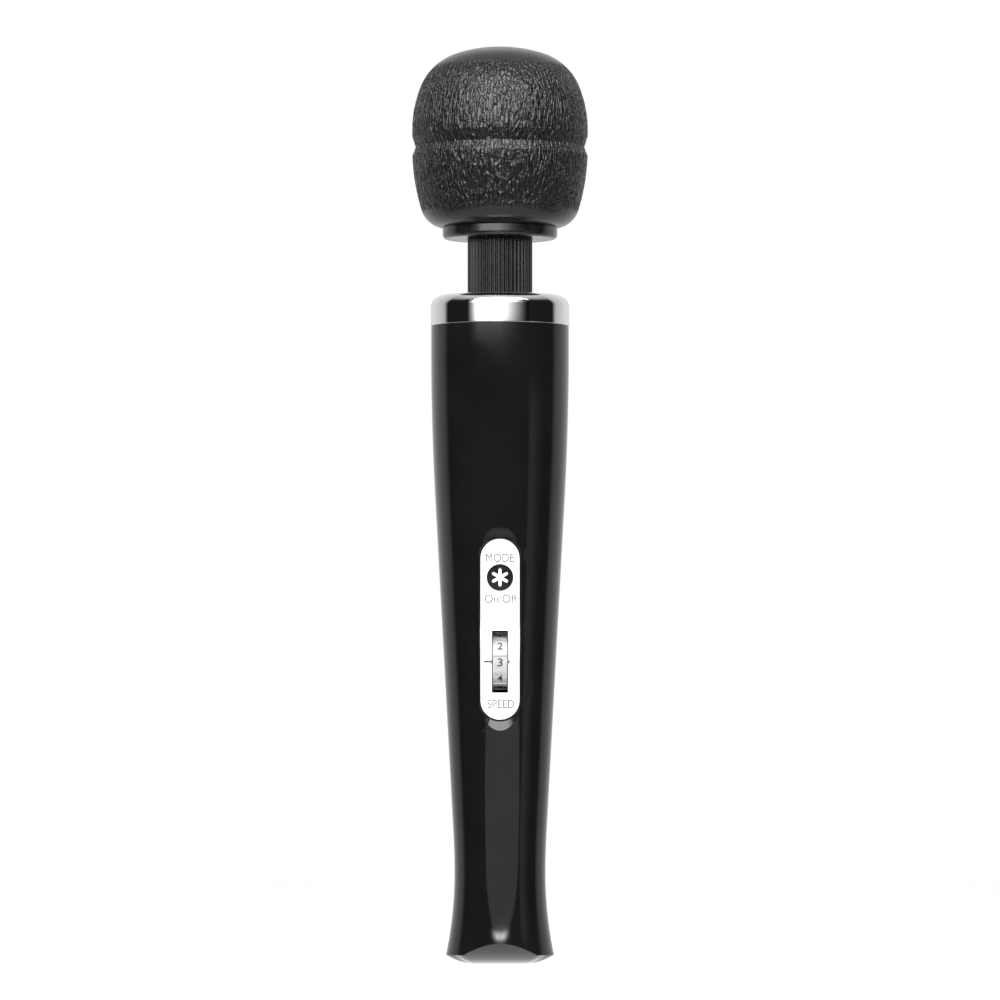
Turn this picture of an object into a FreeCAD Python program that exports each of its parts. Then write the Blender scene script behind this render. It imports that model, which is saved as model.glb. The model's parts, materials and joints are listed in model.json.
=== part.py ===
import FreeCAD, Part
import math
import os

import Sketcher

# A handheld wand massager, in millimetres.
# It stands upright on its base: +Z runs up the handle to the head, and the control panel faces -Y.
# The origin is the centre of the base, at the level that the base rests on.

DRIVING_SIZES = {
    # Handle: a turned grip that narrows to a waist and flares to its base
    "grip_r": 24.15,
    "grip_top": 222.8,
    "grip_shoulder": 216.6,
    "grip_upper_arc": 1000,
    "grip_lower_arc": 250,
    "taper": 3.13,
    "waist_r": 15.9,
    "waist_height": 31.6,
    "flare_arc": 137,
    "wall": 2.2,
    # Base: flat in its middle, with a rounded rim, and rolled up in front of roll_start
    "roll_start": -4,
    "roll_r": 17.6,
    "cap_thick": 1.6,
    "seam_height": 4.2,
    "seam_joint": -12.7,
    "rim_flat_r": 9,
    "rim_r": 18.9,
    "rim_rise": 3,
    "rim_arc": 17.8,
    "spigot_top": 12.6,
    "spigot_wall": 1.5,
    # Control panel, set along the front line of the grip
    "panel_r": 20.2,
    "panel_height": 116.65,
    "recess_wide": 15.9,
    "recess_long": 71,
    "recess_depth": 2,
    "floor_wide": 14,
    "floor_long": 63.2,
    "floor_thick": 1.6,
    "panel_fit": 0.25,
    "plate_wide": 13.5,
    "plate_long": 62.7,
    "plate_drop": -0.65,
    "plate_thick": 0.7,
    "button_high": 17.4,
    "button_r": 4.55,
    "button_face": -0.5,
    "button_rim": 0.8,
    "dish_depth": 0.45,
    "flange_r": 5.6,
    "flange_thick": 1,
    "stem_r": 2,
    "stem_long": 1.5,
    "arm_long": 3.1,
    "arm_wide": 1.05,
    "mark_thick": 0.12,
    "switch_side": 6,
    "switch_thick": 2.4,
    "plunger_r": 1.6,
    "plunger_long": 2.3,
    "board_depth": 10,
    "board_thick": 1.2,
    "board_wide": 16,
    "board_low": 4,
    "board_high": 29,
    # Speed wheel, on an axle across the handle
    "wheel_low": -11.9,
    "wheel_r": 10,
    "wheel_wide": 5,
    "wheel_proud": 1.6,
    "wheel_turn": 4.5,
    "rib_high": 0.45,
    "rib_wide": 1.5,
    "rib_count": 10,
    "window_wide": 5.6,
    "window_long": 21.5,
    "notch_r": 0.6,
    "dash_from": 3.5,
    "dash_long": 2.1,
    "dash_wide": 0.55,
    "axle_r": 1.5,
    "cheek_gap": 3.2,
    "cheek_thick": 1.2,
    "cheek_long": 12,
    "bracket_depth": 21,
    "sensor_r": 6,
    "sensor_thick": 3,
    # Screws of the handle
    "screw_head_r": 2.9,
    "screw_head_high": 1.8,
    "screw_r": 1.25,
    "screw_long": 14,
    "slot_wide": 0.8,
    "slot_depth": 0.9,
    "screw_seat": 6,
    "screw_clear": 0.15,
    "front_post_r": 3.3,
    "rear_post_r": 4.3,
    "screw_upper": 151.6,
    "screw_lower": 89.6,
    "half_gap": 0.05,
    # Chrome ring on top of the handle
    "ring_r": 24.3,
    "ring_top": 233.4,
    "ring_round": 4,
    "ring_plate": 2.6,
    "ring_bore": 11.75,
    "skirt_low": 216.1,
    "skirt_wall": 0.65,
    "fit_gap": 0.1,
    # Flexible neck
    "neck_r": 11.35,
    "neck_bore": 8,
    "neck_low": 225.6,
    "neck_middle": 243.6,
    "neck_flange_r": 17,
    "neck_flange": 3,
    "neck_top": 261.1,
    "top_flange_r": 14,
    "top_flange": 2.8,
    "core_r": 7.7,
    "core_bore": 5.6,
    "core_long": 8,
    "clamp_thick": 2.8,
    # Head
    "head_r": 30.85,
    "head_low": 257.4,
    "belly": 285.6,
    "dome_start": 291.6,
    "head_top": 321,
    "head_corner_arc": 9,
    "head_side_arc": 75,
    "dome_side_arc": 42,
    "dome_shoulder_arc": 20,
    "dome_top_arc": 50,
    "cap_wall": 2.6,
    "head_wall": 2,
    "cap_bore": 17.3,
    "groove_upper": 4,
    "groove_lower": 3.1,
    "groove_depth": 1.4,
    "collar_r": 20.1,
    "collar_low": 253.4,
    "collar_round": 1.5,
    "collar_top": 257.35,
    "hub_r": 17.2,
    # Motor and drive
    "shaft_r": 1.6,
    "running_fit": 0.03,
    "motor_r": 14,
    "motor_low": 169.6,
    "motor_top": 207.6,
    "motor_wall": 1,
    "bell_thick": 4,
    "rotor_r": 10.6,
    "rotor_low": 175.6,
    "rotor_top": 197.6,
    "slot_r": 1.5,
    "slot_count": 5,
    "winding_r": 9.4,
    "winding_high": 3.5,
    "commutator_r": 3.2,
    "magnet_r": 11.3,
    "magnet_low": 173.6,
    "magnet_top": 199.6,
    "magnet_turn": 130,
    "mount_high": 6,
    "mount_lower_r": 20.7,
    "mount_upper_r": 21.5,
    "mount_lower": 171.6,
    "mount_upper": 198.6,
    "motor_shaft_low": 166.1,
    "motor_shaft_top": 222.6,
    "coupling_r": 4.2,
    "coupling_low": 215.6,
    "coupling_top": 263.6,
    "head_shaft_low": 255.6,
    "head_shaft_top": 301.6,
    "bearing_r": 5.5,
    "bearing_high": 4,
    "lower_bearing": 267.1,
    "upper_bearing": 295.1,
    "lower_bridge_r": 23.4,
    "upper_bridge_r": 25.6,
    "bridge_thick": 2.5,
    "seat_wall": 2.5,
    "weight_r": 15,
    "weight_low": 273.1,
    "weight_high": 18,
    "weight_hub_r": 4,
    "weight_screw_r": 1.25,
    # Battery and charging socket
    "cell_r": 9.2,
    "cell_low": 16.4,
    "cell_long": 65,
    "cell_round": 1,
    "contact_thick": 0.4,
    "cradle_high": 6,
    "cradle_lower": 24,
    "cradle_upper": 66,
    "cradle_lower_r": 13.5,
    "cradle_upper_r": 15.2,
    "jack_back": 3,
    "jack_r": 4,
    "jack_bore": 2.9,
    "jack_deep": 9,
    "jack_side": 10,
    "jack_box_low": 4.2,
    "jack_top": 12,
    "jack_lip": 0.3,
    "pin_r": 0.95,
    "pin_clear": 1.2,
}

doc = FreeCAD.newDocument("wand_massager")
sheet = doc.addObject("Spreadsheet::Sheet", "Sizes")
for row, (alias, number) in enumerate(DRIVING_SIZES.items(), start=1):
    sheet.set(f"A{row}", alias)
    sheet.set(f"B{row}", str(number))
    sheet.setAlias(f"B{row}", alias)
doc.recompute()

X_AXIS = FreeCAD.Vector(1, 0, 0)
Y_AXIS = FreeCAD.Vector(0, 1, 0)
Z_AXIS = FreeCAD.Vector(0, 0, 1)
FAR = 60  # reaches past the handle from anywhere in it
BELOW_BASE = -1  # where a wall ends before the base surface trims it


class Size:
    """A length: its expression in the sheet's cells, and its number now."""

    def __init__(self, text, number):
        self.text = text
        self.number = number

    def __add__(self, other):
        other = size(other)
        return Size(f"({self.text} + {other.text})", self.number + other.number)

    def __sub__(self, other):
        other = size(other)
        return Size(f"({self.text} - {other.text})", self.number - other.number)

    def __mul__(self, other):
        other = size(other)
        return Size(f"({self.text} * {other.text})", self.number * other.number)

    def __truediv__(self, other):
        other = size(other)
        return Size(f"({self.text} / {other.text})", self.number / other.number)

    def __neg__(self):
        return Size(f"(-1 * {self.text})", -self.number)


def size(what):
    """The Size of a cell's alias or of a plain number."""
    if isinstance(what, Size):
        return what
    if isinstance(what, str):
        return Size(f"Sizes.{what}", getattr(sheet, what))
    return Size(f"({what})", what)


def bind(thing, name, what):
    """Bind a property to its expression in the sheet."""
    thing.setExpression(name, size(what).text)


class Corner:
    """A corner of an outline, and the stretch that leads from it to the next one.

    arc is the radius of that stretch: its centre is on the left for a positive one, on the right
    for a negative one, and the stretch is straight if it is None. A smooth corner has no kink.
    level puts the arc's centre straight beside the corner, and plumb straight above or below it.
    A half_round arc stands on its level chord, which sets its radius.
    free names the coordinates that follow from the rest, for which x and y are first guesses.
    """

    def __init__(self, x, y, arc=None, smooth=False, level=False, plumb=False, free="", half_round=False):
        self.x = size(x)
        self.y = size(y)
        self.arc = None if arc is None else size(arc)
        self.smooth = smooth
        self.level = level or half_round
        self.half_round = half_round
        self.plumb = plumb
        self.free = free


def backwards(corners):
    """The same open run of corners, walked the other way."""
    turned_round = []
    arcs = [None] + [corner.arc for corner in corners[:-1]]
    for corner, arc in zip(reversed(corners), reversed(arcs)):
        twin = Corner(corner.x, corner.y, None, corner.smooth, corner.level, corner.plumb, corner.free)
        twin.arc = None if arc is None else -arc
        turned_round.append(twin)
    return turned_round


def arc_between(start, finish, radius):
    """A circle's arc from start to finish, and whether it runs anticlockwise."""
    half = (finish - start) * 0.5
    height = math.sqrt(max(radius**2 - half.Length**2, 0))
    left = FreeCAD.Vector(-half.y, half.x, 0).normalize()
    centre = start + half + left * math.copysign(height, radius)
    first, last = (
        math.atan2(point.y - centre.y, point.x - centre.x)
        for point in ((start, finish) if radius > 0 else (finish, start))
    )
    circle = Part.Circle(centre, Z_AXIS, abs(radius))
    return Part.ArcOfCircle(circle, first, last), radius > 0


def draw(sketch, corners):
    """Draw a closed outline of corners, with every size bound to the sheet."""
    heads, tails = [], []
    points = [FreeCAD.Vector(corner.x.number, corner.y.number, 0) for corner in corners]
    for corner, start, finish in zip(corners, points, points[1:] + points[:1]):
        if corner.arc is None:
            edge = sketch.addGeometry(Part.LineSegment(start, finish), False)
            heads.append((edge, 1))
            tails.append((edge, 2))
            continue
        shape, anticlockwise = arc_between(start, finish, corner.arc.number)
        edge = sketch.addGeometry(shape, False)
        heads.append((edge, 1 if anticlockwise else 2))
        tails.append((edge, 2 if anticlockwise else 1))
    for place, corner in enumerate(corners):
        head, tail = heads[place], tails[place - 1]
        joint = "Tangent" if corner.smooth else "Coincident"
        sketch.addConstraint(Sketcher.Constraint(joint, *tail, *head))
    for place, corner in enumerate(corners):
        head = heads[place]
        for direction, length in (("x", corner.x), ("y", corner.y)):
            if direction in corner.free:
                continue
            fixed = Sketcher.Constraint("Distance" + direction.upper(), -1, 1, *head, length.number)
            index = sketch.addConstraint(fixed)
            bind(sketch, f"Constraints[{index}]", length)
        if corner.arc is not None and not corner.half_round:
            radius = corner.arc if corner.arc.number > 0 else -corner.arc
            index = sketch.addConstraint(Sketcher.Constraint("Radius", head[0], radius.number))
            bind(sketch, f"Constraints[{index}]", radius)
        centre_of = head[0] if corner.arc is not None else tails[place - 1][0]
        if corner.level:
            sketch.addConstraint(Sketcher.Constraint("Horizontal", centre_of, 3, *head))
        if corner.plumb:
            sketch.addConstraint(Sketcher.Constraint("Vertical", centre_of, 3, *head))


def draw_circle(sketch, x, y, radius):
    """Draw a circle with its centre and radius bound to the sheet."""
    x, y, radius = size(x), size(y), size(radius)
    centre = FreeCAD.Vector(x.number, y.number, 0)
    edge = sketch.addGeometry(Part.Circle(centre, Z_AXIS, radius.number), False)
    for name, length in (("DistanceX", x), ("DistanceY", y)):
        index = sketch.addConstraint(Sketcher.Constraint(name, -1, 1, edge, 3, length.number))
        bind(sketch, f"Constraints[{index}]", length)
    index = sketch.addConstraint(Sketcher.Constraint("Radius", edge, radius.number))
    bind(sketch, f"Constraints[{index}]", radius)


def rectangle(left, low, right, high):
    """The corners of an upright rectangle."""
    return [Corner(left, low), Corner(right, low), Corner(right, high), Corner(left, high)]


def stadium(wide, long, middle=0):
    """A slot's outline, upright, with half-round ends."""
    half, reach = size(wide) / 2, (size(long) - size(wide)) / 2
    low, high = size(middle) - reach, size(middle) + reach
    return [
        Corner(half, low),
        Corner(half, high, arc=half, half_round=True),
        Corner(-half, high),
        Corner(-half, low, arc=half, half_round=True),
    ]


def new_body(label):
    """A sub-part: its Label names its file."""
    body = doc.addObject("PartDesign::Body", label)
    body.Label = label
    return body


def new_sketch(body, role, rise=0):
    """A sketch on one of the body's own planes, or rise above it."""
    sketch = body.newObject("Sketcher::SketchObject", body.Label + "_sketch")
    plane = next(item for item in body.Origin.OriginFeatures if item.Role == role)
    sketch.AttachmentSupport = [(plane, "")]
    sketch.MapMode = "FlatFace"
    bind(sketch, "AttachmentOffset.Base.z", rise)
    return sketch


def sketch_of(body, role, corners, rise=0):
    """A new sketch that holds one outline."""
    sketch = new_sketch(body, role, rise)
    draw(sketch, corners)
    return sketch


def circle_sketch(body, role, x, y, radius, rise=0):
    """A new sketch that holds one circle."""
    sketch = new_sketch(body, role, rise)
    draw_circle(sketch, x, y, radius)
    return sketch


def feature(body, kind, sketch):
    """A PartDesign feature made from a sketch."""
    made = body.newObject("PartDesign::" + kind, body.Label + "_" + kind.lower())
    made.Profile = sketch
    return made


def revolve(body, corners, angle=360, back=False, cut=False):
    """Turn an outline about Z. Half a turn goes towards +Y, or towards -Y if back is set."""
    sketch = sketch_of(body, "XZ_Plane", corners)
    made = feature(body, "Groove" if cut else "Revolution", sketch)
    made.ReferenceAxis = (sketch, ["V_Axis"])
    bind(made, "Angle", angle)
    made.Reversed = back
    return made


def pad(body, sketch, length, both=False, back=False):
    """Extrude a sketch, to both sides if both is set."""
    made = feature(body, "Pad", sketch)
    bind(made, "Length", length)
    made.SideType = "Symmetric" if both else "One side"
    made.Reversed = back
    return made


def pocket(body, sketch, length, both=False, back=False):
    """Cut a sketch into the body, towards the side its plane faces away from, or the other if back."""
    made = feature(body, "Pocket", sketch)
    bind(made, "Length", length)
    made.SideType = "Symmetric" if both else "One side"
    made.Reversed = back
    return made


def polar(body, original, count):
    """Repeat a feature about the body's own Z."""
    made = body.newObject("PartDesign::PolarPattern", body.Label + "_pattern")
    made.Originals = [original]
    axis = next(item for item in body.Origin.OriginFeatures if item.Role == "Z_Axis")
    made.Axis = (axis, [""])
    made.Angle = 360
    bind(made, "Occurrences", count)
    body.Tip = made
    return made


def place(body, x=0, y=0, z=0, axis=X_AXIS, turn=0):
    """Put a body where it belongs, with its place bound to the sheet."""
    body.Placement = FreeCAD.Placement(FreeCAD.Vector(), FreeCAD.Rotation(axis, size(turn).number))
    for name, length in (("x", x), ("y", y), ("z", z)):
        bind(body, "Placement.Base." + name, length)
    if isinstance(turn, Size):
        bind(body, "Placement.Rotation.Angle", turn)


def panel_point(up, out):
    """The Y and Z of a point on the handle's middle plane, up along the panel and out from it."""
    angle = math.radians(size("taper").number)
    lean = Size("sin(Sizes.taper)", math.sin(angle))
    rise = Size("cos(Sizes.taper)", math.cos(angle))
    up, out = size(up), size(out)
    return -size("panel_r") - up * lean - out * rise, size("panel_height") + up * rise - out * lean


def place_on_panel(body, up=0):
    """Put a body made flat on XY onto the panel: its Y runs up the panel and its Z points out."""
    place(body, 0, *panel_point(up, 0), X_AXIS, size("taper") + 90)


def place_on_axle(body, turn=90):
    """Put a body made about its own Z onto the wheel's axle, with its Z along X."""
    place(body, 0, *panel_point("wheel_low", WHEEL_OUT), Y_AXIS, turn)


def turned(label, corners):
    """A body of revolution about Z."""
    body = new_body(label)
    revolve(body, corners)
    return body


def tube(label, inner, outer, low, high):
    """A plain ring or bush about Z."""
    return turned(label, rectangle(inner, low, outer, high))


def grip_run(inset):
    """The grip's side at a depth under its surface, from its shoulder down to below its base."""
    inset = size(inset)
    taper = math.radians(size("taper").number)
    upper = size("grip_upper_arc") - inset
    lower = size("grip_lower_arc") + inset
    shoulder_r = size("grip_r") - inset
    waist_r = size("waist_r") - inset
    fall = 1 - math.cos(taper)
    lean = math.sin(taper)
    return [
        Corner(shoulder_r, "grip_shoulder", arc=-upper, level=True),
        Corner(shoulder_r - upper.number * fall, size("grip_shoulder") - upper.number * lean,
               smooth=True, free="xy"),
        Corner(waist_r + lower.number * fall, size("waist_height") + lower.number * lean,
               arc=lower, smooth=True, free="xy"),
        Corner(waist_r, "waist_height", arc=size("flare_arc") + inset, smooth=True, level=True),
        Corner(waist_r + 3.5, BELOW_BASE, free="x"),
    ]


def rolled_outline(rise, flat, above=False):
    """All that lies under the roll of the base, or all above it, in the YZ plane.

    The roll is raised by rise, and it is level from where it comes down to the height flat.
    """
    radius = size("roll_r") - rise
    edge = size("roll_start") - radius
    far = FAR if above else -FAR
    foot = Corner("roll_start", 0) if flat == 0 else Corner("seam_joint", flat, free="x")
    start = [Corner(edge, far), Corner(edge, "roll_r", arc=radius, level=flat != 0), foot]
    return start + [Corner(FAR, flat), Corner(FAR, far)]


def screw(label, height):
    """A pan-head screw of the handle, that enters from behind: its head sits in its post's bore."""
    length = size("screw_long")
    body = turned(label, [
        Corner(0, -length),
        Corner("screw_r", -length),
        Corner("screw_r", 0),
        Corner("screw_head_r", 0),
        Corner("screw_head_r", "screw_head_high"),
        Corner(0, "screw_head_high"),
    ])
    half_wide, half_long = size("slot_wide") / 2, size("screw_head_r") * 0.65
    for reach, across in ((half_long, half_wide), (half_wide, half_long)):
        slot = sketch_of(body, "XY_Plane", rectangle(-reach, -across, reach, across), "screw_head_high")
        pocket(body, slot, "slot_depth")
    place(body, 0, "screw_seat", height, X_AXIS, -90)


SCREW_HEIGHTS = ("screw_upper", "screw_lower")
FLOOR_BACK = size("recess_depth") + "floor_thick"
PLATE_FACE = size("plate_thick") - "recess_depth"
WHEEL_OUT = PLATE_FACE + "wheel_proud" - "wheel_r"


def grip_at(height):
    """The radius of the grip's straight stretch at a height."""
    slope = Size("tan(Sizes.taper)", math.tan(math.radians(size("taper").number)))
    return size("panel_r") + (size(height) - "panel_height") * slope


def add_shell_wall(body, front):
    """Half of the grip's wall, open at the top, and trimmed to the top of the base cap."""
    outside = [Corner("grip_r", "grip_top")] + grip_run(0)
    inside = backwards(grip_run("wall")) + [Corner(size("grip_r") - "wall", "grip_top")]
    revolve(body, outside + inside, 180, back=front)
    base = sketch_of(body, "YZ_Plane", rolled_outline("cap_thick", "seam_height"))
    pocket(body, base, 2 * FAR, both=True)


def panel_sketch(body, corners, depth):
    """A sketch parallel to the panel, at a depth under the grip's front line."""
    sketch = new_sketch(body, "XZ_Plane")
    sketch.AttachmentOffset = FreeCAD.Placement(FreeCAD.Vector(), FreeCAD.Rotation(X_AXIS, 1))
    front, height = panel_point(0, -size(depth))
    bind(sketch, "AttachmentOffset.Base.y", height)
    bind(sketch, "AttachmentOffset.Base.z", -front)
    bind(sketch, "AttachmentOffset.Rotation.Angle", "taper")
    draw(sketch, corners)
    return sketch


def round_outline(radius, y=0):
    """A full circle on the Y axis of its sketch, as two half-round arcs."""
    radius = size(radius)
    return [Corner(side, y, arc=radius, half_round=True) for side in (radius, -radius)]


def window_outline(spare):
    """The wheel's window."""
    half, reach = size("window_wide") / 2 + spare, size("window_long") / 2 + spare
    middle = size("wheel_low")
    return rectangle(-half, middle - reach, half, middle + reach)


def front_shell():
    """The front half of the grip, with the recess that the control plate lies in."""
    body = new_body("handle_front_shell")
    add_shell_wall(body, front=True)
    backing = panel_sketch(body, stadium("recess_wide", size("recess_long") - "floor_thick"), FLOOR_BACK)
    pad(body, backing, "floor_thick")
    floor = panel_sketch(body, stadium("floor_wide", "floor_long", "plate_drop"), "recess_depth")
    mouth = panel_sketch(body, stadium(
        size("recess_wide") * 2 - "floor_wide", size("recess_long") * 2 - "floor_long",
    ), -size("recess_depth"))
    recess = feature(body, "SubtractiveLoft", floor)
    recess.Sections = [mouth]
    button_hole = round_outline(size("button_r") + "panel_fit", "button_high")
    for hole in (button_hole, window_outline("panel_fit")):
        behind = panel_sketch(body, hole, FLOOR_BACK * 2)
        pocket(body, behind, FLOOR_BACK * 2, back=True)
    for height in SCREW_HEIGHTS:
        post = circle_sketch(body, "XZ_Plane", 0, height, "front_post_r", "half_gap")
        pad(body, post, grip_at(height) - "recess_depth" - "screw_clear")
        pilot = circle_sketch(body, "XZ_Plane", 0, height, "screw_r", "half_gap")
        pocket(body, pilot, "screw_long", back=True)
    return body


def rear_shell():
    """The rear half of the grip, with the deep posts that its screws sit in."""
    body = new_body("handle_rear_shell")
    add_shell_wall(body, front=False)
    for height in SCREW_HEIGHTS:
        post = circle_sketch(body, "XZ_Plane", 0, height, "rear_post_r", -size("half_gap"))
        pad(body, post, grip_at(height) - size("wall") / 2, back=True)
        clear = circle_sketch(body, "XZ_Plane", 0, height, size("screw_r") + "screw_clear")
        pocket(body, clear, FAR)
        seat = circle_sketch(body, "XZ_Plane", 0, height, size("screw_head_r") + "screw_clear",
                             -size("screw_seat"))
        pocket(body, seat, FAR)
    return body


def flare_run(inset):
    """The flare from the waist down to below the base, at a depth under the grip's surface."""
    waist, rim = grip_run(inset)[-2:]
    waist.smooth = False
    return [waist, rim]


def base_cap():
    """The cap under the handle, with a spigot that locates both shells."""
    body = new_body("base_cap")
    revolve(body, [Corner(0, BELOW_BASE), Corner(0, "waist_height")] + flare_run(0))
    inside = sketch_of(body, "YZ_Plane", rolled_outline("cap_thick", "seam_height", above=True))
    pocket(body, inside, 2 * FAR, both=True)
    outer = size("wall") + "fit_gap"
    revolve(body, flare_run(outer) + backwards(flare_run(outer + "spigot_wall")))
    high = sketch_of(body, "YZ_Plane", rectangle(-FAR, "spigot_top", FAR, FAR))
    pocket(body, high, 2 * FAR, both=True)
    under = sketch_of(body, "YZ_Plane", rolled_outline(0, 0))
    pocket(body, under, 2 * FAR, both=True)
    revolve(body, [
        Corner("rim_flat_r", 0, arc="rim_arc"),
        Corner("rim_r", "rim_rise"),
        Corner(FAR, "rim_rise"),
        Corner(FAR, BELOW_BASE),
        Corner("rim_flat_r", BELOW_BASE),
    ], cut=True)
    hole = circle_sketch(body, "XY_Plane", 0, "jack_back", size("jack_r") + "half_gap")
    pocket(body, hole, FAR, both=True)
    return body


def control_plate():
    """The flat plate in the recess, with the button's hole and the wheel's notched window."""
    body = new_body("control_plate")
    plate = stadium("plate_wide", "plate_long", "plate_drop")
    pad(body, sketch_of(body, "XY_Plane", plate, -size("recess_depth")), "plate_thick")
    button_hole = round_outline(size("button_r") + "fit_gap", "button_high")
    for hole in (button_hole, window_outline(0)):
        pocket(body, sketch_of(body, "XY_Plane", hole), FAR)
    for side in (-1, 1):
        notch = circle_sketch(body, "XY_Plane", size("window_wide") / 2 * side, "wheel_low", "notch_r")
        pocket(body, notch, FAR)
    place_on_panel(body)
    return body


def index_mark():
    """The dash beside the window that the wheel's numbers are read against."""
    body = new_body("index_mark")
    near, half = size("dash_from"), size("dash_wide") / 2
    middle = size("wheel_low")
    dash = rectangle(-near - "dash_long", middle - half, -near, middle + half)
    pad(body, sketch_of(body, "XY_Plane", dash, PLATE_FACE), "mark_thick")
    place_on_panel(body)
    return body


def mode_button():
    """The push button: a dished face, a flange that keeps it in, and a stem on the switch."""
    edge = size(0.3)
    face, reach = size("button_face"), size("button_r")
    flange = -FLOOR_BACK - "fit_gap"
    body = turned("mode_button", [
        Corner(0, flange - "flange_thick" - "stem_long"),
        Corner("stem_r", flange - "flange_thick" - "stem_long"),
        Corner("stem_r", flange - "flange_thick"),
        Corner("flange_r", flange - "flange_thick"),
        Corner("flange_r", flange),
        Corner(reach, flange),
        Corner(reach, face - edge, arc=edge),
        Corner(reach - edge, face),
        Corner(reach - "button_rim", face),
        Corner(reach - "button_rim" - "dish_depth", face - "dish_depth"),
        Corner(0, face - "dish_depth"),
    ])
    place_on_panel(body, "button_high")
    return body


def button_symbol():
    """A six-armed star on the button's dished face."""
    body = new_body("button_symbol")
    half, tip = size("arm_wide") / 2, size("arm_long")
    arm = [Corner(-half, 0), Corner(half, 0), Corner(half, tip - half, arc=half, half_round=True),
           Corner(-half, tip - half)]
    face = size("button_face") - "dish_depth"
    first = pad(body, sketch_of(body, "XY_Plane", arm, face), "mark_thick")
    polar(body, first, 6)
    place_on_panel(body, "button_high")
    return body


def switch_plunger():
    """The tactile switch's plunger, which moves with the button."""
    foot = -FLOOR_BACK - "fit_gap" - "flange_thick" - "stem_long"
    body = tube("switch_plunger", 0, "plunger_r", foot - "plunger_long", foot)
    place_on_panel(body, "button_high")
    return body


def switch_body():
    """The tactile switch, soldered to the board under the button."""
    body = new_body("switch_body")
    half = size("switch_side") / 2
    low = -size("board_depth")
    pad(body, sketch_of(body, "XY_Plane", rectangle(-half, -half, half, half), low), "switch_thick")
    top = low + "switch_thick"
    bore = circle_sketch(body, "XY_Plane", 0, 0, size("plunger_r") + "fit_gap", top)
    pocket(body, bore, size("plunger_long"))
    place_on_panel(body, "button_high")
    return body


def control_board():
    """The circuit board behind the panel."""
    body = new_body("control_board")
    half = size("board_wide") / 2
    board = rectangle(-half, "board_low", half, "board_high")
    low = -size("board_depth") - "board_thick"
    pad(body, sketch_of(body, "XY_Plane", board, low), "board_thick")
    place_on_panel(body)
    return body


def speed_wheel():
    """The thumbwheel: a rim with a rib between each two numbers."""
    half = size("wheel_wide") / 2
    rim = size("wheel_r") - "rib_high"
    body = tube("speed_wheel", size("axle_r") + "running_fit", rim, -half, half)
    across = size("rib_wide") / 2
    outline = rectangle(rim - "rib_high", -across, "wheel_r", across)
    rib = sketch_of(body, "XY_Plane", outline)
    bind(rib, "AttachmentOffset.Rotation.Angle", "wheel_turn")
    first = pad(body, rib, "wheel_wide", both=True)
    polar(body, first, "rib_count")
    place_on_axle(body)
    return body


def wheel_axle():
    """The pin that the wheel turns on."""
    half = size("cheek_gap") + "cheek_thick"
    body = tube("wheel_axle", 0, "axle_r", -half, half)
    place_on_axle(body)
    return body


def wheel_sensor():
    """The rotary sensor that reads the wheel, beside the bracket."""
    near = size("cheek_gap") + "cheek_thick"
    body = tube("wheel_sensor", 0, "sensor_r", near, near + "sensor_thick")
    place_on_axle(body)
    return body


def wheel_bracket():
    """The U-shaped bracket that carries the axle."""
    body = new_body("wheel_bracket")
    near = size("cheek_gap")
    far = near + "cheek_thick"
    middle, half = size("wheel_low"), size("cheek_long") / 2
    low = -size("bracket_depth")
    back = rectangle(-far, middle - half, far, middle + half)
    pad(body, sketch_of(body, "XY_Plane", back, low), "cheek_thick")
    for left, right in ((-far, -near), (near, far)):
        cheek = rectangle(left, middle - half, right, middle + half)
        pad(body, sketch_of(body, "XY_Plane", cheek, low), WHEEL_OUT + half - low)
    bore = circle_sketch(body, "YZ_Plane", middle, WHEEL_OUT, "axle_r")
    pocket(body, bore, 2 * FAR, both=True)
    place_on_panel(body)
    return body


def rear_screws():
    """The two screws that hold the halves of the handle together."""
    for label, height in zip(("rear_screw_upper", "rear_screw_lower"), SCREW_HEIGHTS):
        screw(label, height)


def chrome_ring():
    """The bright ring on top of the handle, with a skirt inside the shells."""
    skirt_out = size("grip_r") - "wall" - "fit_gap"
    skirt_in = skirt_out - "skirt_wall"
    top = size("ring_top")
    return turned("chrome_ring", [
        Corner(skirt_in, "skirt_low"),
        Corner(skirt_out, "skirt_low"),
        Corner(skirt_out, "grip_top"),
        Corner("ring_r", "grip_top"),
        Corner("ring_r", top - "ring_round", arc="ring_round"),
        Corner(size("ring_r") - "ring_round", top),
        Corner("ring_bore", top),
        Corner("ring_bore", top - "ring_plate"),
        Corner(skirt_in, top - "ring_plate"),
    ])


def neck_parts():
    """The flexible sleeve in two lengths, the ring that stiffens its middle, and its clamp."""
    high_flange = size("neck_top") - "top_flange"
    low_flange = size("neck_low") + "neck_flange"
    turned("neck_sleeve_lower", [
        Corner("neck_bore", "neck_low"),
        Corner("neck_flange_r", "neck_low"),
        Corner("neck_flange_r", low_flange),
        Corner("neck_r", low_flange),
        Corner("neck_r", "neck_middle"),
        Corner("neck_bore", "neck_middle"),
    ])
    turned("neck_sleeve_upper", [
        Corner("neck_bore", "neck_middle"),
        Corner("neck_r", "neck_middle"),
        Corner("neck_r", high_flange),
        Corner("top_flange_r", high_flange),
        Corner("top_flange_r", "neck_top"),
        Corner("neck_bore", "neck_top"),
    ])
    half = size("core_long") / 2
    tube("neck_core", "core_bore", "core_r", size("neck_middle") - half, size("neck_middle") + half)
    clamp_r = size("grip_r") - "wall" - "skirt_wall" - size("fit_gap") * 2
    tube("neck_clamp", "neck_bore", clamp_r, size("neck_low") - "clamp_thick", "neck_low")


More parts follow.
